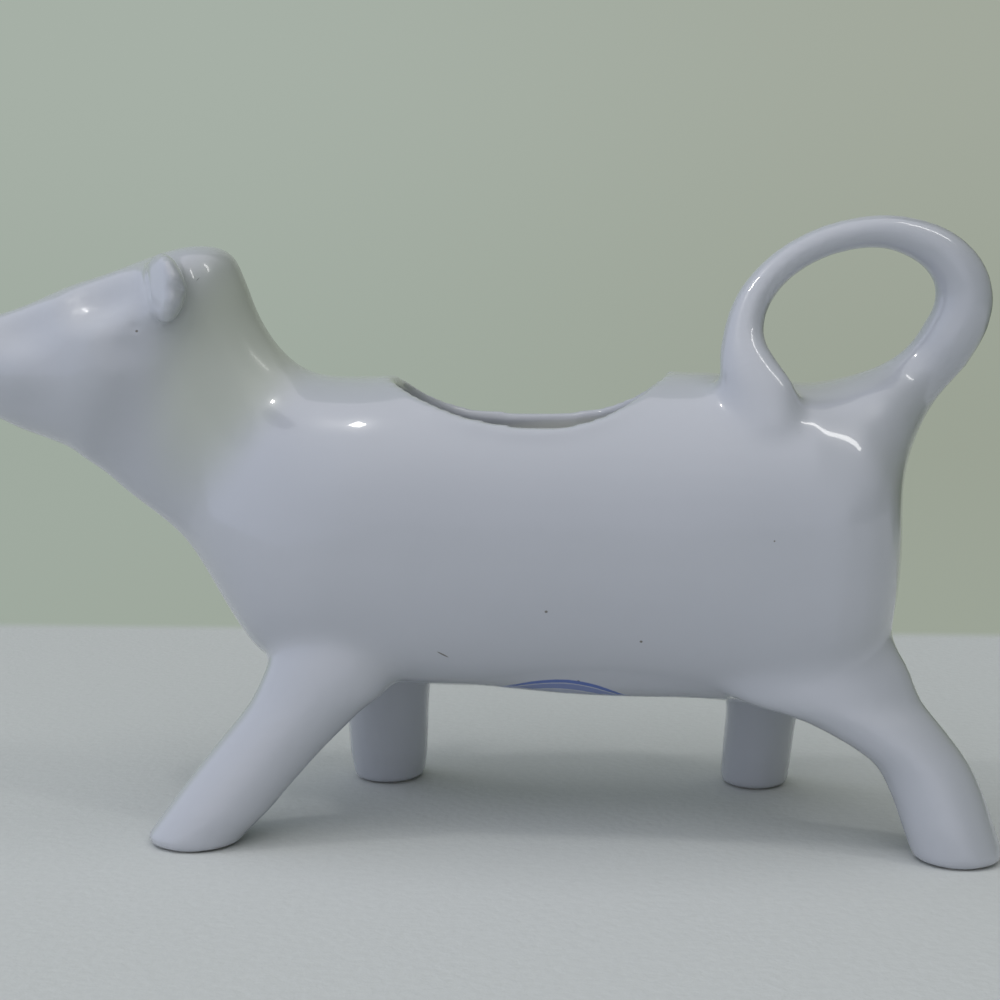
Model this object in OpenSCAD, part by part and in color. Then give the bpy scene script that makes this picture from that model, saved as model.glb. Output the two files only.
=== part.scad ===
/* [Body] */
// Length of the body, from the breast to the rump
body_l = 108.5; // [80:0.5:140]
// Width of the barrel
body_w = 46; // [38:1:56]
// Height of the back above the ground
back_h = 75; // [68:1:84]
// Height of the belly above the ground
belly_h = 21; // [15:1:28]
// Thickness of the cast wall
wall = 3; // [2:0.25:4]
// Length of the rounded rump
rump_l = 18.5; // [12:0.5:26]

/* [Filling mouth] */
// Length of the mouth along the back
mouth_l = 45; // [34:1:52]
// Width of the mouth across the back, at its middle
mouth_w = 35; // [26:0.5:38]
// Distance from the breast to the middle of the mouth
mouth_x = 47.7; // [43:0.5:55]

/* [Head and neck] */
// Length of the head, from the poll to the end of the muzzle
head_l = 40; // [32:0.5:48]
// Depth of the head and throat below the poll
head_h = 38.5; // [34:0.5:42]
// Width of the head across the cheeks
head_w = 27; // [24:0.5:31]
// Width of the muzzle
muzzle_w = 16.5; // [13:0.5:20]
// Height of the poll above the ground
poll_h = 97; // [93:0.5:102]
// Distance of the poll in front of the breast
poll_x = 9; // [4:0.5:14]
// Width of the neck behind the ears
neck_w = 21.5; // [18:0.5:25]
// Diameter of the pouring hole in the muzzle
spout_d = 8; // [5:0.5:9]

/* [Ears] */
// Length of an ear from its root, which is inside the head
ear_l = 16; // [12:0.5:20]
// Height of an ear
ear_h = 11.5; // [8:0.5:13]
// Thickness of an ear at its middle
ear_t = 4.2; // [2.5:0.1:5]
// Depth of the hollow in the front of an ear
ear_cup = 1; // [0:0.1:3]
// Angle at which an ear points backwards
ear_lean = 30; // [0:1:45]
// Depth of the middle of an ear below the poll
ear_drop = 7.5; // [6:0.5:12]
// Distance of an ear's root in front of the poll
ear_x = 5.7; // [2:0.1:9]

/* [Legs] */
// Distance between the left and the right feet
track = 40; // [34:1:48]
// Diameter of a front leg above the foot
front_leg_d = 14.2; // [11:0.2:17]
// Diameter of a rear leg above the foot
rear_leg_d = 13; // [11:0.2:16]
// Height inside the body at which the legs end
leg_root_h = 40; // [36:1:46]
// Distance from the breast to the roots of the front legs
shoulder_x = 21; // [16:0.5:26]
// Distance from the rump to the roots of the rear legs
hip_x = 16.5; // [12:0.5:22]
// Distance of the front left foot in front of the breast
front_left_x = 5.5; // [0:0.5:10]
// Distance from the breast to the front right foot
front_right_x = 19.8; // [12:0.5:28]
// Distance of the rear left foot behind the rump
rear_left_x = 7.1; // [0:0.1:12]
// Distance from the rump to the rear right foot
rear_right_x = 21.7; // [12:0.1:28]
// Rounding of the edge round the sole
sole_r = 1.4; // [0.5:0.1:2]

/* [Tail] */
// Length of the tail's loop, along the body
loop_l = 35.6; // [28:0.5:42]
// Height of the middle of the tail's loop above the back
loop_h = 22.7; // [16:0.5:30]
// Distance of the loop's rear end behind the rump
loop_back = 9.7; // [6:0.5:14]
// Thickness of the tail at the rear of the loop
tail_d = 9.2; // [7:0.2:11]
// Thickness of the tail at its thinnest
tail_thin_d = 5.2; // [4:0.2:7]
// Width of the tuft at the tail's end
tuft_w = 12.4; // [9:0.2:15]
// Thickness of the tuft
tuft_t = 6.8; // [5:0.2:9]

/* [Hidden] */

glaze_colour = [0.93, 0.94, 0.95];
// Overrun of every cut past the face that it starts from
overrun = 1;
// Points round a section of the trunk, and round a leg, an ear or the tail
trunk_sides = 48;
limb_sides = 24;
// Sections drawn for each one given in a table
trunk_steps = 3;
limb_steps = 3;
// Sections of a rounded end
round_steps = 6;

// Barrel: top x, top z, bottom x, bottom z, width and squareness of each section, with x as
// shares of the body's length and z as shares of the way from the belly to the back
barrel_shares = [
    [0.110, 1.005, -0.060, 0.365, 0.68, 2.2],
    [0.143, 1.000, -0.023, 0.250, 0.79, 2.3],
    [0.184, 0.998, 0.024, 0.130, 0.88, 2.4],
    [0.240, 1.000, 0.100, 0.060, 0.955, 2.5],
    [0.320, 1.000, 0.230, 0.042, 0.99, 2.5],
    [0.433, 1.000, 0.415, 0.034, 1.00, 2.4],
    [0.570, 1.000, 0.570, 0.032, 1.00, 2.35],
    [0.710, 1.005, 0.705, 0.010, 1.01, 2.4],
    [0.843, 0.975, 0.816, -0.020, 0.99, 2.7]
];
rump_squareness = 3;
// Head: x as shares of its length in front of the poll, z as shares of its depth below the poll
head_shares = [
    [0.850, 0.290, 0.860, 0.755, 2.2],
    [0.710, 0.244, 0.775, 0.800, 2.2],
    [0.525, 0.166, 0.675, 0.838, 2.2],
    [0.350, 0.112, 0.600, 0.866, 2.2],
    [0.175, 0.049, 0.535, 0.895, 2.2],
    [0.000, 0.000, 0.475, 0.943, 2.2],
    [-0.150, 0.023, 0.400, 1.000, 2.1]
];
// Shares of the way from the muzzle's width to the head's width
head_width_shares = [0.05, 0.22, 0.45, 0.72, 0.95, 1.0, 0.72];
muzzle_squareness = 2.3;
// Neck: x and z as shares of the way from the head's last section to the barrel's first
neck_shares = [
    [0.17, 0.21, 0.16, 0.15],
    [0.32, 0.50, 0.32, 0.28],
    [0.52, 0.74, 0.54, 0.45],
    [0.77, 0.91, 0.76, 0.66]
];
// Shares of the way from the neck's width to the barrel's first width
neck_width_shares = [0, -0.03, 0.01, 0.24];
neck_squareness = 2.1;
// Squareness of the left and of the right side of the mouth, which is cut by hand
mouth_squareness = [2.4, 3.2];
// Shares by which each of these sides is wider at its rear end and narrower in front
mouth_skew_shares = [0.05, -0.04];

// Ear: shares of its length, its height and its thickness
ear_shares = [
    [0.00, 0.75, 1.60],
    [0.40, 0.97, 1.55],
    [0.62, 1.00, 1.25],
    [0.79, 0.88, 0.98],
    [0.91, 0.62, 0.78],
    [0.98, 0.30, 0.45]
];
// Share of the head's width, from its middle, at which an ear starts inside the head
ear_side_share = 0.22;

// Legs: shares of the way up from the foot to the root
leg_height_shares = [0.14, 0.26, 0.38, 0.52, 0.60, 0.70, 0.85, 1];
// Shares of the way along the body from the foot to the root, and of the diameter along the body
front_stride_shares = [0.14, 0.285, 0.44, 0.635, 0.75, 0.84, 0.93, 1];
front_long_shares = [1.01, 1.04, 1.07, 1.14, 1.27, 1.36, 1.38, 1.30];
rear_stride_shares = [0.06, 0.13, 0.25, 0.56, 0.85, 0.93, 0.97, 1];
rear_long_shares = [0.95, 0.96, 1.02, 1.42, 2.00, 2.05, 1.80, 1.50];
// Shares of the diameter across the body
leg_wide_shares = [1, 1, 1, 1.04, 1.09, 1.15, 1.18, 1.05];
// Share of the body's width between the roots of a left and a right leg
root_track_share = 0.42;
// Share of a leg's diameter at the foot
foot_share = 0.94;

// Tail: x as shares of the loop's length in front of its rear end, y as shares of the barrel's
// width, z as shares of the loop's height above the back
tail_shares = [
    [0.540, 0.000, -0.570],
    [0.385, 0.000, -0.330],
    [0.258, 0.000, -0.123],
    [0.118, 0.000, 0.110],
    [0.017, -0.004, 0.366],
    [0.000, -0.011, 0.573],
    [0.050, -0.022, 0.758],
    [0.168, -0.030, 0.912],
    [0.371, -0.043, 1.000],
    [0.610, -0.065, 0.943],
    [0.815, -0.098, 0.775],
    [0.952, -0.141, 0.529],
    [1.000, -0.196, 0.264],
    [0.978, -0.261, 0.022],
    [0.927, -0.315, -0.198],
    [0.899, -0.365, -0.361]
];
// Widths in the loop's plane and thicknesses across it, as shares of the thickness at the rear
// of the loop, of the thinnest thickness, and of the tuft's width and thickness
tail_width_shares = [2.10, 1.82, 1.40, 1.07, 1.02, 0.98, 0.87, 0.73];
tail_thick_shares = [1.52, 1.37, 1.22, 1.07, 1.00, 0.93, 0.85, 0.76];
thin_width_shares = [1.04, 0.96, 0.96, 1.06, 1.29];
thin_thick_shares = [1.23, 1.15, 1.12, 1.15, 1.27];
tuft_width_shares = [0.79, 1.00, 0.81];
tuft_thick_shares = [1.06, 1.00, 0.76];
// Share of the tuft's width over which its end is rounded
tuft_end_share = 0.2;

depth = back_h - belly_h;

// Arithmetic

function mix(a, b, t) = a + (b - a) * t;
function unit(v) = v / norm(v);
function signed_power(x, e) = sign(x) * pow(abs(x), e);
function flipped(list) = [for (k = [len(list) - 1 : -1 : 0]) list[k]];
function last(list) = list[len(list) - 1];
function sum(list) = list * [for (x = list) 1];
function centre(ring) = [for (k = [0 : 2]) sum([for (p = ring) p[k]]) / len(ring)];
function entry(list, i) = list[max(0, min(len(list) - 1, i))];
// Value at a place, counted in entries, on a smooth curve through the entries of a list
function smooth(list, place) =
    let (i = min(floor(place), len(list) - 2), u = place - i,
         a = entry(list, i - 1), b = list[i], c = list[i + 1], d = entry(list, i + 2))
    b + u * (c - a + u * (2 * a - 5 * b + 4 * c - d + u * (3 * b - a - 3 * c + d))) / 2;
function refined(list, steps) = [for (k = [0 : (len(list) - 1) * steps]) smooth(list, k / steps)];

// Surfaces through rings of points

// Two triangles for each side between the rings whose first points are a and b
function band(a, b, sides) =
    [for (i = [0 : sides - 1])
        let (j = (i + 1) % sides)
        each [[a + i, b + i, b + j], [a + i, b + j, a + j]]];
// Triangles from the ring whose first point is a to one point
function fan(a, point, sides) = [for (i = [0 : sides - 1]) [a + i, point, a + (i + 1) % sides]];

// Solid through rings, closed at its start by a flat face and at its end by one point
module loft(rings, end_point = undef) {
    sides = len(rings[0]);
    count = len(rings);
    ends = [centre(rings[0]), is_undef(end_point) ? centre(last(rings)) : end_point];
    start_fan = [for (f = fan(0, count * sides, sides)) flipped(f)];
    end_fan = fan((count - 1) * sides, count * sides + 1, sides);
    bands = [for (r = [0 : count - 2]) each band(r * sides, (r + 1) * sides, sides)];
    polyhedron(concat([for (r = rings) each r], ends), concat(bands, start_fan, end_fan));
}

// Wall between two lofts, open at its start, and at its end too if it has no end points
module shell(outer, inner, outer_end = undef, inner_end = undef) {
    sides = len(outer[0]);
    n = len(outer);
    rings = concat(outer, flipped(inner));
    open = is_undef(outer_end);
    turn = open ? band((n - 1) * sides, n * sides, sides)
        : concat(fan((n - 1) * sides, 2 * n * sides, sides),
                 [for (f = fan(n * sides, 2 * n * sides + 1, sides)) flipped(f)]);
    bands = [for (r = [0 : 2 * n - 2]) if (r != n - 1) each band(r * sides, (r + 1) * sides, sides)];
    lip = band((2 * n - 1) * sides, 0, sides);
    points = concat([for (r = rings) each r], open ? [] : [outer_end, inner_end]);
    polyhedron(points, concat(bands, lip, turn));
}

// Rings that round off the end of a loft over a length, in a direction
function end_rings(ring, direction, length, squareness) =
    [for (k = [1 : round_steps - 1])
        let (a = 90 * k / round_steps, middle = centre(ring))
        [for (p = ring)
            middle + (p - middle) * pow(cos(a), 2 / squareness)
            + direction * length * pow(sin(a), 2 / squareness)]];

// Trunk: head, neck and barrel are lengths of one smooth loft

// A section is its top x and z, its bottom x and z, its width and its squareness
barrel_sections = [for (r = barrel_shares)
    [r[0] * body_l, belly_h + r[1] * depth, r[2] * body_l, belly_h + r[3] * depth, r[4] * body_w, r[5]]];
head_sections = [for (k = [0 : len(head_shares) - 1])
    let (r = head_shares[k])
    [-poll_x - r[0] * head_l, poll_h - r[1] * head_h, -poll_x - r[2] * head_l, poll_h - r[3] * head_h,
     mix(muzzle_w, head_w, head_width_shares[k]), r[4]]];
neck_sections = [for (k = [0 : len(neck_shares) - 1])
    let (r = neck_shares[k], a = last(head_sections), b = barrel_sections[0])
    [mix(a[0], b[0], r[0]), mix(a[1], b[1], r[1]), mix(a[2], b[2], r[2]), mix(a[3], b[3], r[3]),
     mix(neck_w, b[4], neck_width_shares[k]), neck_squareness]];
trunk = refined(concat(head_sections, neck_sections, barrel_sections), trunk_steps);
head_end = (len(head_sections) - 1) * trunk_steps;
neck_end = head_end + (len(neck_sections) + 1) * trunk_steps;

// Ring of points round a section, drawn in from its outline by an inset
function section_ring(s, inset) =
    let (top = [s[0], s[1]], bottom = [s[2], s[3]], middle = (top + bottom) / 2,
         up = unit(top - bottom), high = norm(top - bottom) / 2 - inset, wide = s[4] / 2 - inset)
    [for (i = [0 : trunk_sides - 1])
        let (a = 360 * i / trunk_sides,
             rise = high * signed_power(sin(a), 2 / s[5]),
             out = wide * signed_power(cos(a), 2 / s[5]))
        [middle.x + up.x * rise, out, middle.y + up.y * rise]];
function trunk_rings(from, to, inset) = [for (k = [from : to]) section_ring(trunk[k], inset)];

muzzle_round = head_l * (1 - head_shares[0][0]);
muzzle_dir = [-1, 0, 0];
rump_dir = [1, 0, 0];
// Rings from a section forward to the end of the muzzle
function head_rings(inset, from = head_end) =
    let (rings = trunk_rings(0, from, inset),
         muzzle = end_rings(rings[0], muzzle_dir, muzzle_round - inset, muzzle_squareness))
    [for (r = concat(flipped(rings), muzzle)) flipped(r)];
function head_tip(inset) = centre(section_ring(trunk[0], inset)) + muzzle_dir * (muzzle_round - inset);
function barrel_rings(inset) =
    let (rings = trunk_rings(neck_end, len(trunk) - 1, inset))
    concat(rings, end_rings(last(rings), rump_dir, rump_l - inset, rump_squareness));
function barrel_tip(inset) = centre(section_ring(last(trunk), inset)) + rump_dir * (rump_l - inset);

module head_and_neck_outside() {
    loft(head_rings(0, neck_end), head_tip(0));
}
module barrel_outside() {
    loft(barrel_rings(0), barrel_tip(0));
}

// Barrel, open to the neck in front and at the filling mouth in the back
module barrel() {
    color(glaze_colour) difference() {
        shell(barrel_rings(0), barrel_rings(wall), barrel_tip(0), barrel_tip(wall));
        translate([mouth_x, 0, belly_h + depth / 2])
            linear_extrude(depth / 2 + overrun)
                polygon([for (i = [0 : trunk_sides - 1])
                    let (a = 360 * i / trunk_sides,
                         side = sin(a) < 0 ? 0 : 1,
                         power = 2 / mouth_squareness[side],
                         along = signed_power(cos(a), power),
                         across = signed_power(sin(a), power))
                    [mouth_l / 2 * along,
                     mouth_w / 2 * (1 + mouth_skew_shares[side] * along) * across]]);
    }
}

// Neck, a passage from the barrel up to the head
module neck() {
    color(glaze_colour) shell(trunk_rings(head_end, neck_end, 0), trunk_rings(head_end, neck_end, wall));
}

// Head, with the pouring hole in the end of the muzzle
module head() {
    color(glaze_colour) difference() {
        shell(head_rings(0), head_rings(wall), head_tip(0), head_tip(wall));
        translate(head_tip(-overrun)) rotate([0, 90, 0]) cylinder(d = spout_d, h = muzzle_round + wall);
    }
}

// Ear: a cupped leaf that stands out sideways from the head
module ear(side) {
    out = [sin(ear_lean), side * cos(ear_lean), 0];
    back = [cos(ear_lean), -side * sin(ear_lean), 0];
    root = [-poll_x - ear_x, side * head_w * ear_side_share, poll_h - ear_drop];
    rings = [for (r = refined(ear_shares, limb_steps))
        [for (i = [0 : limb_sides - 1])
            let (a = 360 * i / limb_sides, v = cos(a), u = sin(a))
            root + out * r[0] * ear_l + [0, 0, v * r[1] * ear_h / 2]
            + back * (u * r[2] * ear_t / 2 + ear_cup * (1 - v * v))]];
    color(glaze_colour) difference() {
        loft(side < 0 ? [for (r = rings) flipped(r)] : rings);
        head_and_neck_outside();
    }
}
module left_ear() {
    ear(-1);
}
module right_ear() {
    ear(1);
}

// Rings of a leg, level, from the sole up to the root inside the body
function leg_rings(foot_x, root_x, side, d, stride_shares, long_shares) =
    let (slope = norm([root_x - foot_x, leg_root_h]) / leg_root_h,
         foot_r = d / 2 * foot_share,
         sole = [for (a = [0 : 30 : 90])
             let (r = foot_r - sole_r * (1 - sin(a)))
             [0, r * mix(1, slope, sin(a)), r, sole_r * (1 - cos(a))]],
         heights = refined(leg_height_shares, limb_steps),
         strides = refined(stride_shares, limb_steps),
         longs = refined(long_shares, limb_steps),
         wides = refined(leg_wide_shares, limb_steps),
         rows = [for (k = [0 : len(heights) - 1])
             [strides[k], longs[k] * slope * d / 2, wides[k] * d / 2, heights[k] * leg_root_h]])
    [for (r = concat(sole, rows))
        let (x = mix(foot_x, root_x, r[0]),
             y = side * mix(track, body_w * root_track_share, r[3] / leg_root_h) / 2)
        [for (i = [0 : limb_sides - 1])
            let (a = 360 * i / limb_sides)
            [x + r[1] * cos(a), y + r[2] * sin(a), r[3]]]];
function front_rings(foot_x, side) =
    leg_rings(foot_x, shoulder_x, side, front_leg_d, front_stride_shares, front_long_shares);
function rear_rings(foot_x, side) =
    leg_rings(foot_x, body_l - hip_x, side, rear_leg_d, rear_stride_shares, rear_long_shares);
front_left_rings = front_rings(-front_left_x, -1);
front_right_rings = front_rings(front_right_x, 1);
rear_left_rings = rear_rings(body_l + rear_left_x, -1);
rear_right_rings = rear_rings(body_l - rear_right_x, 1);
module leg(rings) {
    color(glaze_colour) difference() {
        loft(rings);
        barrel_outside();
    }
}
module front_left_leg() {
    leg(front_left_rings);
}
module front_right_leg() {
    leg(front_right_rings);
}
module rear_left_leg() {
    leg(rear_left_rings);
}
module rear_right_leg() {
    leg(rear_right_rings);
}

// Tail, looped up from the rump and forward, with its tuft pressed on the left flank
tail_path = refined([for (r = tail_shares)
    [body_l + loop_back - r[0] * loop_l, r[1] * body_w, back_h + r[2] * loop_h]], limb_steps);
tail_widths = refined(concat(tail_width_shares * tail_d, thin_width_shares * tail_thin_d,
    tuft_width_shares * tuft_w), limb_steps);
tail_thicks = refined(concat(tail_thick_shares * tail_d, thin_thick_shares * tail_thin_d,
    tuft_thick_shares * tuft_t), limb_steps);
tail_rings = [for (k = [0 : len(tail_path) - 1])
    let (ahead = unit(entry(tail_path, k + 1) - entry(tail_path, k - 1)),
         across = unit([0, 1, 0] - ahead.y * ahead), outward = cross(across, ahead))
    [for (i = [0 : limb_sides - 1])
        let (a = 360 * i / limb_sides)
        tail_path[k] + outward * tail_widths[k] / 2 * cos(a) + across * tail_thicks[k] / 2 * sin(a)]];
tail_end_dir = unit(last(tail_path) - tail_path[len(tail_path) - 2]);
tuft_end = tuft_w * tuft_end_share;
module tail_handle() {
    color(glaze_colour) difference() {
        loft(concat(tail_rings, end_rings(last(tail_rings), tail_end_dir, tuft_end, 2)),
             last(tail_path) + tail_end_dir * tuft_end);
        barrel_outside();
    }
}

// The whole stands with the middle of its length over the origin
front_end = -poll_x - head_l;
rear_end = max([for (ring = concat(tail_rings, rear_left_rings), p = ring) p.x]);
module placed() {
    translate([-(front_end + rear_end) / 2, 0, 0]) children();
}

placed() barrel();
placed() neck();
placed() head();
placed() left_ear();
placed() right_ear();
placed() front_left_leg();
placed() front_right_leg();
placed() rear_left_leg();
placed() rear_right_leg();
placed() tail_handle();
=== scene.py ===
# %% [markdown]
# A cow creamer is a small milk jug cast in white porcelain. Milk goes in through the mouth in
# the cow's back and comes out of a hole in the muzzle, and the looped tail is the handle.
# The frame from CAD gives each potter's piece in its true place. Here the pieces get what the
# kiln gives them: seams that have melted together, soft rounded edges and one coat of glaze.

# %% Load the frame
import math

import bmesh
import bpy
import numpy as np
from mathutils import Euler, Matrix, Vector
from mathutils.bvhtree import BVHTree


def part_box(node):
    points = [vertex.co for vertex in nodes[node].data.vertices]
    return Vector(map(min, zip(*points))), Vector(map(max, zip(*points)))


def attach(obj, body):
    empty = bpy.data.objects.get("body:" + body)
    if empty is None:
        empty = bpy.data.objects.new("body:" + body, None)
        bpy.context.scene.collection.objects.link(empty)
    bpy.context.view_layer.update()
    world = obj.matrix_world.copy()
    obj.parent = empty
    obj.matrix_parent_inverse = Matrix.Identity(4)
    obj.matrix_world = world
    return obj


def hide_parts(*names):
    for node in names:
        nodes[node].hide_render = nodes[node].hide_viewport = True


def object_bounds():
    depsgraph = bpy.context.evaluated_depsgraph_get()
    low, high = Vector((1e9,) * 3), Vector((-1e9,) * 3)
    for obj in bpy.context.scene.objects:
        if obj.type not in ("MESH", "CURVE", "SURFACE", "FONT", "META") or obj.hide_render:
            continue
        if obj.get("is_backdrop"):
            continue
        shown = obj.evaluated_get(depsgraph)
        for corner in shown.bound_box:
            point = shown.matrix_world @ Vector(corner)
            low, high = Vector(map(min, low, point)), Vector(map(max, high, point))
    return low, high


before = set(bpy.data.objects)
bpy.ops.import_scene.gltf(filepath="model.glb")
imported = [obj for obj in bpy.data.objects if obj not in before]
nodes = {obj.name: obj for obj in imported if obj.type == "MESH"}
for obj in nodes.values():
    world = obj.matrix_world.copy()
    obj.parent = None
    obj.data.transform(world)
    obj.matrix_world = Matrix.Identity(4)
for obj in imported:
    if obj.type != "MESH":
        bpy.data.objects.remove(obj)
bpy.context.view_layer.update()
MM = 0.001
scene = bpy.context.scene
scene.view_settings.view_transform = "Standard"
print("nodes", sorted(nodes))

# %% [markdown]
# The camera comes first. It stands at table height in front of the cow's left side, a little
# above the back, and is turned slightly towards the head. Its place was worked out from the
# outline of the feet, the rim of the mouth and the tail in the photograph.

# %% Camera
CAMERA_PLACE = (31.6, -265, 84.9)
CAMERA_LENS = 57.24
CAMERA_DOWN = 6.64
CAMERA_LEFT = 5.56
CAMERA_ROLL = -0.5

camera = bpy.data.objects.new("camera", bpy.data.cameras.new("camera"))
camera.data.lens = CAMERA_LENS
camera.data.sensor_width = 36
camera.data.clip_start = 0.01
aim = Euler((math.radians(90 - CAMERA_DOWN), 0, math.radians(CAMERA_LEFT))).to_matrix().to_4x4()
aim = aim @ Matrix.Rotation(math.radians(CAMERA_ROLL), 4, "Z")
camera.matrix_world = Matrix.Translation(Vector(CAMERA_PLACE) * MM) @ aim
scene.collection.objects.link(camera)
scene.camera = camera
print("camera looks along", [round(v, 3) for v in aim @ Vector((0, 0, -1))])

# %% [markdown]
# A potter casts the hollow barrel, neck and head, presses the legs, ears and tail from solid
# clay, and sticks them together with slip. After the glaze firing no joint is left to see. One
# way to get that is to model the whole cow as one mesh. Another is to take the pieces from
# CAD, fuse copies of them with a voxel remesh and sponge the joints smooth, as the potter does.
# The second way keeps every size from CAD, so it is used here.

# %% Copy the pieces
SAME_POINT = 0.002


def only(piece):
    """Leaves nothing selected but this piece, and makes it the active one."""
    bpy.ops.object.select_all(action="DESELECT")
    piece.select_set(True)
    bpy.context.view_layer.objects.active = piece


def finish_modifier(piece, kind, **settings):
    """Adds one modifier and applies it."""
    only(piece)
    modifier = piece.modifiers.new(kind.lower(), kind)
    for key, value in settings.items():
        setattr(modifier, key, value)
    bpy.ops.object.modifier_apply(modifier=modifier.name)


def merged_copy(node, name):
    """A copy of a CAD node whose loose triangles are merged."""
    piece = bpy.data.objects.new(name, nodes[node].data.copy())
    scene.collection.objects.link(piece)
    piece.data.materials.clear()
    only(piece)
    bpy.ops.object.mode_set(mode="EDIT")
    bpy.ops.mesh.select_all(action="SELECT")
    bpy.ops.mesh.remove_doubles(threshold=SAME_POINT * MM)
    bpy.ops.object.mode_set(mode="OBJECT")
    return piece


TRUNK = ("barrel", "neck", "head")
LIMBS = tuple(sorted(set(nodes) - set(TRUNK)))
clay = {node: merged_copy(node, "clay_" + node) for node in nodes}
trees = {node: BVHTree.FromObject(piece, bpy.context.evaluated_depsgraph_get())
         for node, piece in clay.items()}
print("copied", len(clay), "pieces")

# %% [markdown]
# The mouth is cut out of the back with a knife, and its sharp edge is wiped round with a wet
# finger, which leaves a low rounded lip. A torus could be bent to the edge, but a circle whose
# points are set on the edge, turned into a curve with a round bevel, follows the saddle of
# the back exactly. The near and the far half of the edge each have their own roundness and skew.

# %% Lip of the filling mouth
MOUTH_CENTRE = (10.8, 0)
MOUTH_HALF = (22.5, 17.5)
MOUTH_POWERS = (2 / 2.4, 2 / 3.2)
MOUTH_SKEWS = (0.05, -0.04)
LIP_RADIUS = 1.3
LIP_SUNK = 1.05
LIP_POINTS = 120
RAY_OUTSIDE = 0.4
RAY_HEIGHT = 200

bpy.ops.object.select_all(action="DESELECT")
bpy.ops.mesh.primitive_circle_add(vertices=LIP_POINTS, radius=MOUTH_HALF[0] * MM, location=(0, 0, 0))
lip = bpy.context.object
lip.name = "lip"
for k, vertex in enumerate(lip.data.vertices):
    turn = 2 * math.pi * (k + 0.5) / LIP_POINTS
    side = 0 if math.sin(turn) < 0 else 1
    power = MOUTH_POWERS[side]
    along = math.copysign(abs(math.cos(turn)) ** power, math.cos(turn))
    across = math.copysign(abs(math.sin(turn)) ** power, math.sin(turn))
    wide = MOUTH_HALF[1] * (1 + MOUTH_SKEWS[side] * along)
    edge = Vector((MOUTH_CENTRE[0] + MOUTH_HALF[0] * along, wide * across, 0)) * MM
    inward = -Vector((along / MOUTH_HALF[0], across / wide, 0)).normalized()
    start = edge - inward * RAY_OUTSIDE * MM + Vector((0, 0, RAY_HEIGHT * MM))
    hit, outward = trees["barrel"].ray_cast(start, Vector((0, 0, -1)))[:2]
    edge.z = hit.z
    vertex.co = edge - (outward + inward).normalized() * LIP_SUNK * LIP_RADIUS * MM
only(lip)
bpy.ops.object.convert(target="CURVE")
lip.data.bevel_depth = LIP_RADIUS * MM
lip.data.bevel_resolution = 3
bpy.ops.object.convert(target="MESH")
print("lip faces", len(lip.data.polygons))

# %% [markdown]
# Under the root of the tail goes a pad of slip, which fills the groove between tail and rump.
# It could be modelled by hand on the rump, but a flattened ball does the same and is easy to
# move. Then all the pieces, the lip and the pad are joined, and a voxel remesh makes one closed
# skin of them. A boolean union could do that too, but would leave a sharp crease at each joint.

# %% Pad of slip round the root of the tail
PAD_CENTRE = (66.8, -2, 67.8)
PAD_HALF = (9, 12, 8.8)

bpy.ops.object.select_all(action="DESELECT")
bpy.ops.mesh.primitive_ico_sphere_add(subdivisions=4, radius=MM, location=Vector(PAD_CENTRE) * MM,
                                      scale=PAD_HALF)
pad = bpy.context.object
pad.name = "pad"
print("pad faces", len(pad.data.polygons))

# %% Fuse everything
GRAIN = 0.68

bpy.ops.object.select_all(action="DESELECT")
for piece in (*clay.values(), lip, pad):
    piece.select_set(True)
skin = clay["barrel"]
bpy.context.view_layer.objects.active = skin
bpy.ops.object.join()
skin.name = "skin"
finish_modifier(skin, "REMESH", mode="VOXEL", voxel_size=GRAIN * MM)
print("fused faces", len(skin.data.polygons))

# %% [markdown]
# Slip is pressed into each joint and wiped with a sponge. A bevel would need one clean edge all
# round a joint. The Smooth modifier works on any skin, where a vertex group lets it: over the
# trunk, to wipe away the small flats of the CAD surface, more at each joint, to make its fillet,
# most at the roots of tail and neck, but less on the mouth's rim and least on the ears.

# %% Measure how near each point is to the pieces
REACH = 6
WEIGHT_STEPS = 32


def numbers_of(piece, what="co"):
    """The places or normals of a mesh's vertices as an array."""
    flat = np.zeros(len(piece.data.vertices) * 3)
    piece.data.vertices.foreach_get(what, flat)
    return flat.reshape(-1, 3)


def distances(places, names, reach):
    """The distance in mm from each place to the nearest of these nodes, no more than reach."""
    found = np.full(len(places), float(reach))
    for name in names:
        low, high = (np.array(corner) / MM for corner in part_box(name))
        near = np.all((places > low - reach) & (places < high + reach), axis=1)
        for i in np.flatnonzero(near):
            hit = trees[name].find_nearest(Vector(places[i]) * MM, found[i] * MM)
            if hit[0] is not None:
                found[i] = min(found[i], hit[3] / MM)
    return found


def weigh(piece, name, weights):
    """Makes a vertex group from an array of weights, rounded to a few steps."""
    group = piece.vertex_groups.new(name=name)
    steps = np.round(np.clip(weights, 0, 1) * WEIGHT_STEPS).astype(int)
    for step in range(1, WEIGHT_STEPS + 1):
        chosen = np.flatnonzero(steps == step)
        if len(chosen):
            group.add(chosen.tolist(), step / WEIGHT_STEPS, "REPLACE")


def ramp(values, low, high):
    """0 below low, 1 above high and smooth between them."""
    t = np.clip((values - low) / (high - low), 0, 1)
    return t * t * (3 - 2 * t)


places = numbers_of(skin) / MM
to_trunk = distances(places, TRUNK, REACH)
to_limb = distances(places, LIMBS, REACH)
print("points on the trunk", int((to_trunk < to_limb).sum()))
print("points on the limbs", int((to_limb < to_trunk).sum()))

# %% Wipe the surfaces and the joints
JOINT_REACH = (1.2, 4.5)
EAR_REACH = (0.5, 3)
EAR_KEPT = 0.75
TRUNK_EDGE = (-0.3, 0.3)
RIM_INSIDE = (0.6, 0.8)
RIM_OUTSIDE = (1.35, 1.6)
RIM_HEIGHTS = (58, 61)
RIM_KEPT = 0.35

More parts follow.
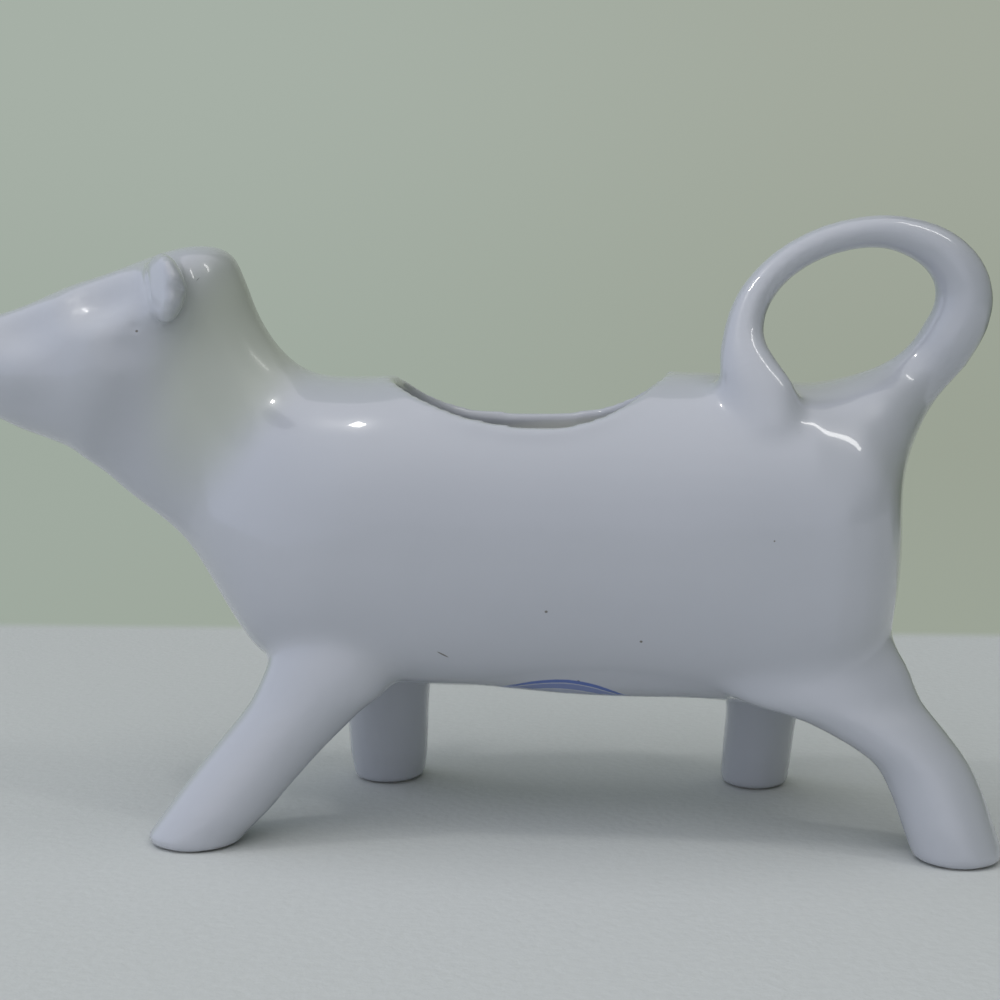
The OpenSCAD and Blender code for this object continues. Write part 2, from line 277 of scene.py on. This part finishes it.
left = places[:, 1] < 0
along, across = np.clip((places[:, :2] - MOUTH_CENTRE) / MOUTH_HALF, -1.5, 1.5).T
power = np.where(left, *MOUTH_POWERS)
across = across / (1 + np.where(left, *MOUTH_SKEWS) * np.clip(along, -1, 1))
from_mouth = np.abs(along) ** (2 / power) + np.abs(across) ** (2 / power)
rim = ramp(from_mouth, *RIM_INSIDE) * (1 - ramp(from_mouth, *RIM_OUTSIDE))
rim = rim * ramp(places[:, 2], *RIM_HEIGHTS)
joint = 1 - ramp(np.maximum(to_trunk, to_limb), *JOINT_REACH)
trunk = ramp(to_limb - to_trunk, *TRUNK_EDGE)
ears = 1 - ramp(distances(places, ("left_ear", "right_ear"), REACH), *EAR_REACH)
weigh(skin, "sponged", np.maximum(trunk * (1 - RIM_KEPT * rim), joint) * (1 - EAR_KEPT * ears))
weigh(skin, "joints", joint)
print("points on the rim", int((rim > 0).sum()), "at the joints", int((joint > 0).sum()))

# %% Broad fillets at the roots of the tail and the neck
TAIL_FILLET = (2, 16)
TAIL_LENGTHS = (56, 62)
NECK_FILLET = (1, 12)
NECK_HEIGHTS = (52, 60)
PASSES = ((5, ""), (20, "sponged"), (30, "joints"), (700, "tail_root"), (120, "neck_root"))

to_barrel, to_tail = (distances(places, (name,), TAIL_FILLET[1]) for name in ("barrel", "tail_handle"))
to_neck = distances(places, ("neck",), NECK_FILLET[1])
tail_root = (1 - ramp(np.maximum(to_barrel, to_tail), *TAIL_FILLET)) * ramp(places[:, 0], *TAIL_LENGTHS)
neck_root = (1 - ramp(np.maximum(to_barrel, to_neck), *NECK_FILLET)) * ramp(places[:, 2], *NECK_HEIGHTS)
weigh(skin, "tail_root", tail_root)
weigh(skin, "neck_root", neck_root)
for passes, group in PASSES:
    finish_modifier(skin, "SMOOTH", factor=0.5, iterations=passes, vertex_group=group)
print("skin box in mm", np.round([numbers_of(skin).min(0) / MM, numbers_of(skin).max(0) / MM], 1).tolist())

# %% [markdown]
# The face of such a jug is hardly more than a few presses of a finger: rounded temples and
# bridge of the nose, a slight swelling of the muzzle, hollows for the eyes and the nostrils, and
# a notch in the edge of each ear. The belly sags a little before it dries. A sculpting brush would
# do it by hand. A Displace modifier that a round vertex group holds to one place makes the same
# soft mark, and makes it on both sides alike.

# %% Press the face and let the belly sag
PRESSES = (
    ("temple", (-59.3, -12, 89), (12.3, 8, 8), -2.4),
    ("bridge", (-74, -10, 84), (12, 7, 7), -1.5),
    ("muzzle", (-73, -10, 75.5), (9, 7, 6), 0.7),
    ("belly", (23, -11, 21.5), (24, 11, 8), 2),
    ("eye_hollow", (-54, -13.5, 80.5), (6.5, 7, 6), -0.8),
    ("eye_corner", (-52.3, -13, 83.4), (1.6, 4, 1.1), -0.35),
    ("ear_notch", (-42.8, -17, 89.3), (2.6, 6, 1.6), -0.9),
    ("nostril", (-84.2, -4.6, 81.4), (1.8, 2.6, 1.6), -0.7),
)


def press(name, centre, reach, depth):
    """Presses a soft round mark into the outside of both sides, or raises one if depth is above 0."""
    places = numbers_of(skin) / MM
    normals = numbers_of(skin, "normal")
    outside = normals[:, 1] * places[:, 1] > 0
    places[:, 1] = -np.abs(places[:, 1])
    away = np.linalg.norm((places - centre) / reach, axis=1)
    weigh(skin, name, (1 - ramp(away, 0, 1)) * outside)
    finish_modifier(skin, "DISPLACE", mid_level=0, strength=depth * MM, vertex_group=name)
    print(name, "moved points", int(((away < 1) & outside).sum()))


for name, centre, reach, depth in PRESSES:
    press(name, centre, reach, depth)
finish_modifier(skin, "SMOOTH", factor=0.5, iterations=2)

# %% [markdown]
# The jug has to stay the pieces that the potter made, so the fused skin is cut apart again at
# its joints. Sorting its faces by the nearest piece would be shorter, but would leave ragged open
# edges. So each leg, ear and the tail is cut out with a slightly fatter copy of itself, and the
# trunk is sliced where head, neck and barrel meet. Every piece is then closed, and takes the
# fused skin's normals, so that the light runs over the joints unbroken.

# %% Cut the limbs off
CUT_MARGIN = 1.3
CUT_GRAIN = 0.5
GROWN_GRAIN = 0.6


def cutter_for(node):
    """A copy of a node, grown all round by the margin."""
    cutter = merged_copy(node, "cutter_" + node)
    finish_modifier(cutter, "REMESH", mode="VOXEL", voxel_size=CUT_GRAIN * MM)
    finish_modifier(cutter, "DISPLACE", mid_level=0, strength=CUT_MARGIN * MM)
    finish_modifier(cutter, "REMESH", mode="VOXEL", voxel_size=GROWN_GRAIN * MM)
    finish_modifier(cutter, "SMOOTH", factor=0.5, iterations=4)
    return cutter


def twin(piece, name):
    """A copy of a piece with its own mesh."""
    made = bpy.data.objects.new(name, piece.data.copy())
    scene.collection.objects.link(made)
    return made


glazed = {}
whole = twin(skin, "whole")
for node in LIMBS:
    cutter = cutter_for(node)
    glazed[node] = twin(skin, "glazed_" + node)
    finish_modifier(glazed[node], "BOOLEAN", operation="INTERSECT", solver="MANIFOLD", object=cutter)
    finish_modifier(skin, "BOOLEAN", operation="DIFFERENCE", solver="MANIFOLD", object=cutter)
    bpy.data.objects.remove(cutter)
    print("cut off", node, "faces", len(glazed[node].data.polygons))

# %% Slice the trunk
HEAD_JOINT = ((-39.9, 0, 96.1), (-61.9, 0, 58.5))
NECK_JOINT = ((-25, 0, 75.3), (-43.4, 0, 40.7))


def slice_off(piece, joint, keep_front):
    """Cuts a piece across the plane of a joint and keeps the part in front of it or behind it."""
    top, bottom = (Vector(point) * MM for point in joint)
    forward = (top - bottom).cross(Vector((0, 1, 0))).normalized()
    only(piece)
    bpy.ops.object.mode_set(mode="EDIT")
    bpy.ops.mesh.select_all(action="SELECT")
    bpy.ops.mesh.bisect(plane_co=top, plane_no=forward, use_fill=True,
                        clear_inner=keep_front, clear_outer=not keep_front)
    bpy.ops.object.mode_set(mode="OBJECT")


for node in TRUNK:
    glazed[node] = twin(skin, "glazed_" + node)
slice_off(glazed["head"], HEAD_JOINT, True)
slice_off(glazed["neck"], HEAD_JOINT, False)
slice_off(glazed["neck"], NECK_JOINT, True)
slice_off(glazed["barrel"], NECK_JOINT, False)
bpy.data.objects.remove(skin)
print("trunk faces", {node: len(glazed[node].data.polygons) for node in TRUNK})

# %% Give every piece the skin's normals, hide its CAD node and hang it on the root
whole.data.shade_smooth()
for node, piece in glazed.items():
    piece.data.shade_smooth()
    finish_modifier(piece, "DATA_TRANSFER", object=whole, use_loop_data=True,
                    data_types_loops={"CUSTOM_NORMAL"}, loop_mapping="POLYINTERP_NEAREST")
    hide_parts(node)
    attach(piece, "root")
    sheet = bmesh.new()
    sheet.from_mesh(piece.data)
    open_edges = sum(1 for edge in sheet.edges if not edge.is_manifold)
    volume = sheet.calc_volume(signed=True) / MM ** 3
    low, high = (np.round(v(0) / MM, 1).tolist() for v in (numbers_of(piece).min, numbers_of(piece).max))
    print(piece.name, "open edges", open_edges, "volume", round(volume), "box", low, high)
    sheet.free()
bpy.data.objects.remove(whole)

# %% [markdown]
# The glaze is white and thick. A picture of glaze could be laid on, but it would show seams on
# so round a body. So it is one shader with a clear hard coat, whose tone varies a little where
# the glaze lies thicker. A fine bump makes the long soft waves that bend the reflections.


# %% Helpers for shader nodes
def shader_node(tree, kind, **settings):
    """Adds one shader node. A setting is an input of that name, or else a property of the node."""
    made = tree.nodes.new(kind)
    for key, value in settings.items():
        if key in made.inputs:
            made.inputs[key].default_value = value
        else:
            setattr(made, key, value)
    return made


def new_finish(name):
    """A material with its node tree and its shader."""
    finish = bpy.data.materials.new(name)
    finish.use_nodes = True
    return finish, finish.node_tree, finish.node_tree.nodes["Principled BSDF"]


def tint(tree, below, colour, mask):
    """Lays a colour over another colour or over a socket, where the mask is 1."""
    mix = shader_node(tree, "ShaderNodeMix", data_type="RGBA")
    for name, value in (("A", below), ("B", colour)):
        if isinstance(value, tuple):
            mix.inputs[name].default_value = value
        else:
            tree.links.new(value, mix.inputs[name])
    tree.links.new(mask, mix.inputs["Factor"])
    return mix.outputs["Result"]


def spread(tree, value, low, high, to_low=0, to_high=1):
    """Maps a value from one range to another, smoothly."""
    made = shader_node(tree, "ShaderNodeMapRange", interpolation_type="SMOOTHSTEP")
    for name, number in (("From Min", low), ("From Max", high), ("To Min", to_low), ("To Max", to_high)):
        made.inputs[name].default_value = number
    tree.links.new(value, made.inputs["Value"])
    return made.outputs["Result"]


def distance_from(tree, place, centre, half, turn=(0, 0, 0)):
    """How far a place is from a centre, as a share of an ellipsoid's half sizes."""
    mapping = shader_node(tree, "ShaderNodeMapping", vector_type="TEXTURE", Rotation=turn)
    mapping.inputs["Location"].default_value = Vector(centre) * MM
    mapping.inputs["Scale"].default_value = Vector(half) * MM
    length = shader_node(tree, "ShaderNodeVectorMath", operation="LENGTH")
    tree.links.new(place, mapping.inputs["Vector"])
    tree.links.new(mapping.outputs["Vector"], length.inputs[0])
    return length.outputs["Value"]


# %% Glaze
GLAZE_WHITE = (0.505, 0.52, 0.575, 1)
GLAZE_THICK = (0.46, 0.48, 0.53, 1)

glaze, tree, shader = new_finish("white_glaze")
shader.inputs["Roughness"].default_value = 0.25
shader.inputs["IOR"].default_value = 1.5
shader.inputs["Coat Weight"].default_value = 1
shader.inputs["Coat Roughness"].default_value = 0.03
shader.inputs["Coat IOR"].default_value = 1.5
place = shader_node(tree, "ShaderNodeTexCoord").outputs["Object"]
cloud = shader_node(tree, "ShaderNodeTexNoise", Scale=35, Detail=2)
wave = shader_node(tree, "ShaderNodeTexNoise", Scale=70, Detail=1)
bump = shader_node(tree, "ShaderNodeBump", Strength=0.2, Distance=0.0004)
tree.links.new(place, cloud.inputs["Vector"])
tree.links.new(place, wave.inputs["Vector"])
tree.links.new(wave.outputs["Fac"], bump.inputs["Height"])
tree.links.new(bump.outputs["Normal"], shader.inputs["Normal"])
colour = tint(tree, GLAZE_WHITE, GLAZE_THICK, cloud.outputs["Fac"])
print("glaze nodes", len(tree.nodes))

# %% [markdown]
# Behind the ears the neck is painted greenish and less bright, painted shade and a painted
# reflection of the green wall, and the coat is duller there. Inside, the jug is painted paler,
# painted light that lifts the shade inside it. A few iron specks and one short scratch show, as
# in most cheap white ware, and the eye is a dark dot. They could be painted by hand on an
# unwrapped surface. Here each is a soft ellipsoid round one place, so nothing has to be
# unwrapped or drawn.

# %% Painted shade behind the ears, and painted light inside the jug
HOLLOW_CENTRE = (-38, 0, 78)
HOLLOW_HALF = (15.5, 30, 31)
HOLLOW_TURN = (0, 0.35, 0)
HOLLOW_COAT = 0.15
# Painted shade: a greenish, darker colour for the neck behind the ears, standing in for shade and the
# green wall's reflection
PAINTED_NECK_SHADE = (0.47, 0.5, 0.455, 1)
INSIDE_CENTRE = (14, 0, 49)
INSIDE_HALF = (56, 21.3, 25.3)
# Painted light: the inside of the jug is painted paler than the outside glaze, to lift the shade inside it
INSIDE_PAINTED_LIGHT = (0.80, 0.81, 0.78, 1)
INSIDE_EDGE = (1.06, 1.02)

# Painted shade and reflection behind the ears; the same mask also dulls the coat there
neck_shade_and_dull_coat = spread(tree, distance_from(tree, place, HOLLOW_CENTRE, HOLLOW_HALF, HOLLOW_TURN), 1, 0.4)
colour = tint(tree, colour, PAINTED_NECK_SHADE, neck_shade_and_dull_coat)
tree.links.new(spread(tree, neck_shade_and_dull_coat, 0, 1, to_low=1, to_high=HOLLOW_COAT), shader.inputs["Coat Weight"])
# Painted light inside the jug, which lifts the shade in the hollow
inside_painted_light = spread(tree, distance_from(tree, place, INSIDE_CENTRE, INSIDE_HALF), *INSIDE_EDGE)
colour = tint(tree, colour, INSIDE_PAINTED_LIGHT, inside_painted_light)
print("glaze nodes with hollow and inside", len(tree.nodes))

# %% Scratch, specks and the dot of the eye
SPECK = (0.16, 0.15, 0.14, 1)
SCRATCH_CENTRE = (-1.7, -19.4, 31.3)
SCRATCH_HALF = (1.2, 3, 0.16)
SCRATCH_TURN = (0, 0.55, 0)
SPECK_HALF = (0.3, 4, 0.26)
EYE_DOT = (-52, -13, 82.8)
SPECKS = (EYE_DOT, (15, -22, 39), (29.7, -21, 34.1), (19.6, -15, 26.2))
IRON_SCALE = 75
IRON_SIZE = (0.016, 0.008)
IRON_RARE = (0.72, 0.74)

scratch = distance_from(tree, place, SCRATCH_CENTRE, SCRATCH_HALF, SCRATCH_TURN)
colour = tint(tree, colour, SPECK, spread(tree, scratch, 1, 0.7))
for speck in SPECKS:
    spot = distance_from(tree, place, speck, SPECK_HALF)
    colour = tint(tree, colour, SPECK, spread(tree, spot, 1, 0.6))
iron = shader_node(tree, "ShaderNodeTexVoronoi", Scale=IRON_SCALE)
tree.links.new(place, iron.inputs["Vector"])
rare = shader_node(tree, "ShaderNodeSeparateColor")
tree.links.new(iron.outputs["Color"], rare.inputs["Color"])
both = shader_node(tree, "ShaderNodeMath", operation="MULTIPLY")
tree.links.new(spread(tree, iron.outputs["Distance"], *IRON_SIZE), both.inputs[0])
tree.links.new(spread(tree, rare.outputs["Red"], *IRON_RARE), both.inputs[1])
colour = tint(tree, colour, SPECK, both.outputs["Value"])
print("glaze nodes with its faults", len(tree.nodes))

# %% [markdown]
# Such jugs often carry a stamp under the belly, printed in blue before glazing. Here it is a
# plain oval: a thin dark line round a paler band and a pale middle. It could be a thin piece of
# its own, but ink has no thickness, so it is painted by place, as rings of one flattened distance.

# %% Plain oval stamp under the belly
STAMP_CENTRE = (17.2, -6.2, 21)
STAMP_HALF = (12, 8.1, 60)
STAMP_BLUE = (0.04, 0.10, 0.40, 1)
STAMP_BANDS = ((-0.1, 0.7, 0.3), (0.73, 0.9, 0.75), (0.92, 1, 0.95))
STAMP_SOFT = 0.015
BELLY_TOP = 30

oval = distance_from(tree, place, STAMP_CENTRE, STAMP_HALF)
height = shader_node(tree, "ShaderNodeSeparateXYZ")
tree.links.new(place, height.inputs["Vector"])
below = spread(tree, height.outputs["Z"], BELLY_TOP * MM, (BELLY_TOP - 1) * MM)
for inner, outer, strength in STAMP_BANDS:
    grow = spread(tree, oval, inner - STAMP_SOFT, inner + STAMP_SOFT)
    fade = spread(tree, oval, outer + STAMP_SOFT, outer - STAMP_SOFT, to_high=strength)
    band = shader_node(tree, "ShaderNodeMath", operation="MULTIPLY")
    tree.links.new(grow, band.inputs[0])
    tree.links.new(fade, band.inputs[1])
    low_band = shader_node(tree, "ShaderNodeMath", operation="MULTIPLY")
    tree.links.new(band.outputs["Value"], low_band.inputs[0])
    tree.links.new(below, low_band.inputs[1])
    colour = tint(tree, colour, STAMP_BLUE, low_band.outputs["Value"])
tree.links.new(colour, shader.inputs["Base Color"])
print("glaze nodes with the stamp", len(tree.nodes))

# %% [markdown]
# The jug stands on its soles in the kiln, so they are wiped free of glaze and stay dull. They
# could be discs of their own, but they are faces of the legs, so those faces are found by their
# height and get a second material.

# %% Bare soles
SOLE_HEIGHT = 0.25
SOLE_LIGHT = (0.55, 0.53, 0.49, 1)
SOLE_DARK = (0.45, 0.42, 0.37, 1)

bare, tree, shader = new_finish("bare_porcelain")
shader.inputs["Roughness"].default_value = 0.7
place = shader_node(tree, "ShaderNodeTexCoord").outputs["Object"]
grit = shader_node(tree, "ShaderNodeTexNoise", Scale=900, Detail=3)
tree.links.new(place, grit.inputs["Vector"])
tree.links.new(tint(tree, SOLE_LIGHT, SOLE_DARK, grit.outputs["Fac"]), shader.inputs["Base Color"])
for node, piece in glazed.items():
    piece.data.materials.clear()
    piece.data.materials.append(glaze)
    if node.endswith("leg"):
        piece.data.materials.append(bare)
        soles = [face for face in piece.data.polygons if face.center.z < SOLE_HEIGHT * MM]
        for face in soles:
            face.material_index = 1
        print(node, "sole faces", len(soles))

# %% [markdown]
# The cow stands on a pale woven cloth in front of a plain grey-green wall. A real cloth could be
# modelled thread by thread, but at this size two planes with a fine grain are enough. The
# wall's colour starts on the floor behind the cow, where the wall stands in the photograph,
# so that no wall hides the cow from the other side. It is painted a little darker and yellower
# to the right and paler upwards, painted shade and light, and painted dark beyond the right edge
# of the picture, as the shade of the room's right side, which the rump reflects. The
# camera and the reflections see it as it is written, and the cloth keeps the cow's shadow. The
# sizes of the stage and the lamps are in metres, and all the others in millimetres.

# %% Helpers for the stage
# Painted shade: the wall is painted darker to the right, and dark beyond the right edge where the room
# lies in shade
WALL_LEFT = (0.35, 0.404, 0.35, 1)
WALL_RIGHT_SHADED = (0.328, 0.362, 0.298, 1)
WALL_SIDE_SHADE = (0.09, 0.11, 0.06, 1)
SIDE_NEAR = 0.25
SIDE_FAR = 0.4


def seen_as_written(tree, shader, colour):
    """Adds a surface that shows a flat colour to the camera and in reflections."""
    path = shader_node(tree, "ShaderNodeLightPath")
    seen = path.outputs["Is Camera Ray"]
    for ray in ("Is Glossy Ray", "Is Transmission Ray"):
        either = shader_node(tree, "ShaderNodeMath", operation="MAXIMUM")
        tree.links.new(seen, either.inputs[0])
        tree.links.new(path.outputs[ray], either.inputs[1])
        seen = either.outputs["Value"]
    flat = shader_node(tree, "ShaderNodeEmission")
    tree.links.new(colour, flat.inputs["Color"])
    mix = shader_node(tree, "ShaderNodeMixShader")
    tree.links.new(seen, mix.inputs["Fac"])
    tree.links.new(shader.outputs["BSDF"], mix.inputs[1])
    tree.links.new(flat.outputs["Emission"], mix.inputs[2])
    return mix.outputs["Shader"]


def wall_colour(tree, place):
    """The wall's colour, painted darker and yellower to the right as shade, and painted dark beyond what
    the camera sees as the room's shaded right side.
    """
    axes = shader_node(tree, "ShaderNodeSeparateXYZ")
    tree.links.new(place, axes.inputs["Vector"])
    seen = tint(tree, WALL_LEFT, WALL_RIGHT_SHADED, spread(tree, axes.outputs["X"], -SIDE_NEAR, SIDE_NEAR))
    return tint(tree, seen, WALL_SIDE_SHADE, spread(tree, axes.outputs["X"], SIDE_NEAR, SIDE_FAR))


def plain_plane(name, size, place, turn):
    """A plane of the stage, with a new matt material."""
    bpy.ops.object.select_all(action="DESELECT")
    bpy.ops.mesh.primitive_plane_add(size=size, location=place, rotation=turn)
    plane = bpy.context.object
    plane.name = name
    finish, tree, shader = new_finish(name)
    shader.inputs["Roughness"].default_value = 0.9
    shader.inputs["Specular IOR Level"].default_value = 0.2
    plane.data.materials.append(finish)
    plane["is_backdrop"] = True
    return tree, shader


# %% Backdrop
# Painted light: the wall is painted a little paler upwards from the floor, as the light falls from above
WALL_PAINTED_LIGHT = (1, 1, 1, 1)
PAINTED_LIGHT_SHARE = 0.05
PAINTED_LIGHT_TOP = 0.25
BACKDROP_HALF = 1.2
BACKDROP_PLACE = (0, 0.7, BACKDROP_HALF)

tree, shader = plain_plane("backdrop", 2 * BACKDROP_HALF, BACKDROP_PLACE, (math.pi / 2, 0, 0))
place = shader_node(tree, "ShaderNodeTexCoord").outputs["Object"]
height = shader_node(tree, "ShaderNodeSeparateXYZ")
tree.links.new(place, height.inputs["Vector"])
painted_light_upward = spread(tree, height.outputs["Y"], -BACKDROP_HALF, PAINTED_LIGHT_TOP - BACKDROP_HALF, to_high=PAINTED_LIGHT_SHARE)
wall = tint(tree, wall_colour(tree, place), WALL_PAINTED_LIGHT, painted_light_upward)
tree.links.new(wall, shader.inputs["Base Color"])
tree.links.new(seen_as_written(tree, shader, wall), tree.nodes["Material Output"].inputs["Surface"])
print("backdrop nodes", len(tree.nodes))

# %% Floor
CLOTH = (0.66, 0.68, 0.675, 1)
CLOTH_THREAD = (0.60, 0.62, 0.615, 1)
WALL_LINE = (0.151, 0.163)
FLOOR_SIZE = 2.6

tree, shader = plain_plane("floor", FLOOR_SIZE, (0, 0, 0), (0, 0, 0))
place = shader_node(tree, "ShaderNodeTexCoord").outputs["Object"]
thread = shader_node(tree, "ShaderNodeTexNoise", Scale=700, Detail=3)
weave = shader_node(tree, "ShaderNodeBump", Strength=0.25, Distance=0.0005)
tree.links.new(place, thread.inputs["Vector"])
tree.links.new(thread.outputs["Fac"], weave.inputs["Height"])
tree.links.new(weave.outputs["Normal"], shader.inputs["Normal"])
tree.links.new(tint(tree, CLOTH, CLOTH_THREAD, thread.outputs["Fac"]), shader.inputs["Base Color"])
axes = shader_node(tree, "ShaderNodeSeparateXYZ")
tree.links.new(place, axes.inputs["Vector"])
beyond = spread(tree, axes.outputs["Y"], *WALL_LINE)
mix = shader_node(tree, "ShaderNodeMixShader")
tree.links.new(beyond, mix.inputs["Fac"])
tree.links.new(shader.outputs["BSDF"], mix.inputs[1])
tree.links.new(seen_as_written(tree, shader, wall_colour(tree, place)), mix.inputs[2])
tree.links.new(mix.outputs["Shader"], tree.nodes["Material Output"].inputs["Surface"])
print("floor nodes", len(tree.nodes))

# %% [markdown]
# The room has soft light from the front and the left, a dark right side and lamps on the ceiling.
# A picture of a room could light it, but the glaze would show that room. So the world is a few
# plain tones laid over one another by direction, and two area lamps hang where their reflections
# come out right: a small one at the upper left for those on shoulder, neck and head, and a long
# tube at the upper right for those on the rump and the tail.

# %% Lamps
WARM_WHITE = (1, 0.99, 0.96)
LIT_PLACE = (0, 0, 0.06)


def lamp(name, place, size, radiance, colour):
    """A lamp that looks at the cow. Place and size are in metres, radiance is how bright it looks."""
    made = bpy.data.objects.new(name, bpy.data.lights.new(name, "AREA"))
    made.data.shape = "RECTANGLE"
    made.data.size, made.data.size_y = size
    made.data.energy = radiance * size[0] * size[1] * math.pi
    made.data.color = colour
    made.location = Vector(place)
    made.rotation_euler = (Vector(LIT_PLACE) - made.location).to_track_quat("-Z", "Y").to_euler()
    scene.collection.objects.link(made)


lamp("ceiling_light", (-0.46, -0.25, 1.05), (0.09, 0.07), 40, WARM_WHITE)
lamp("ceiling_tube", (0.62, -0.29, 1.04), (0.07, 0.5), 8, WARM_WHITE)

# %% Sky
SKY_TOP = (1.07, 1.08, 1.11, 1)
SKY_FRONT = (0.65, 0.67, 0.72, 1)
SKY_BACK = (0.20, 0.23, 0.18, 1)
SKY_LEFT = (0.69, 0.75, 0.88, 1)
SKY_RIGHT = (0.07, 0.09, 0.04, 1)
SKY_SIDES = (
    (SKY_BACK, "Y", -0.6, 0.5),
    (SKY_TOP, "Z", 0, 0.9),
    (SKY_LEFT, "X", -0.3, -0.95),
    (SKY_RIGHT, "X", 0.15, 0.9),
)

room = bpy.data.worlds.new("room")
scene.world = room
room.use_nodes = True
tree = room.node_tree
place = shader_node(tree, "ShaderNodeTexCoord")
axes = shader_node(tree, "ShaderNodeSeparateXYZ")
tree.links.new(place.outputs["Generated"], axes.inputs["Vector"])
sky = SKY_FRONT
for colour, axis, start, end in SKY_SIDES:
    sky = tint(tree, sky, colour, spread(tree, axes.outputs[axis], start, end))
tree.links.new(sky, tree.nodes["Background"].inputs["Color"])
print("sky nodes", len(tree.nodes))

# %% [markdown]
# Last, the box of the finished jug is measured and printed. Glaze, lip and fillets change its size
# against the box from CAD by a fraction of a millimetre only.

# %% Finish
low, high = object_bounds()
print("visual box in mm", [round(v / MM, 1) for v in (*low, *high)])
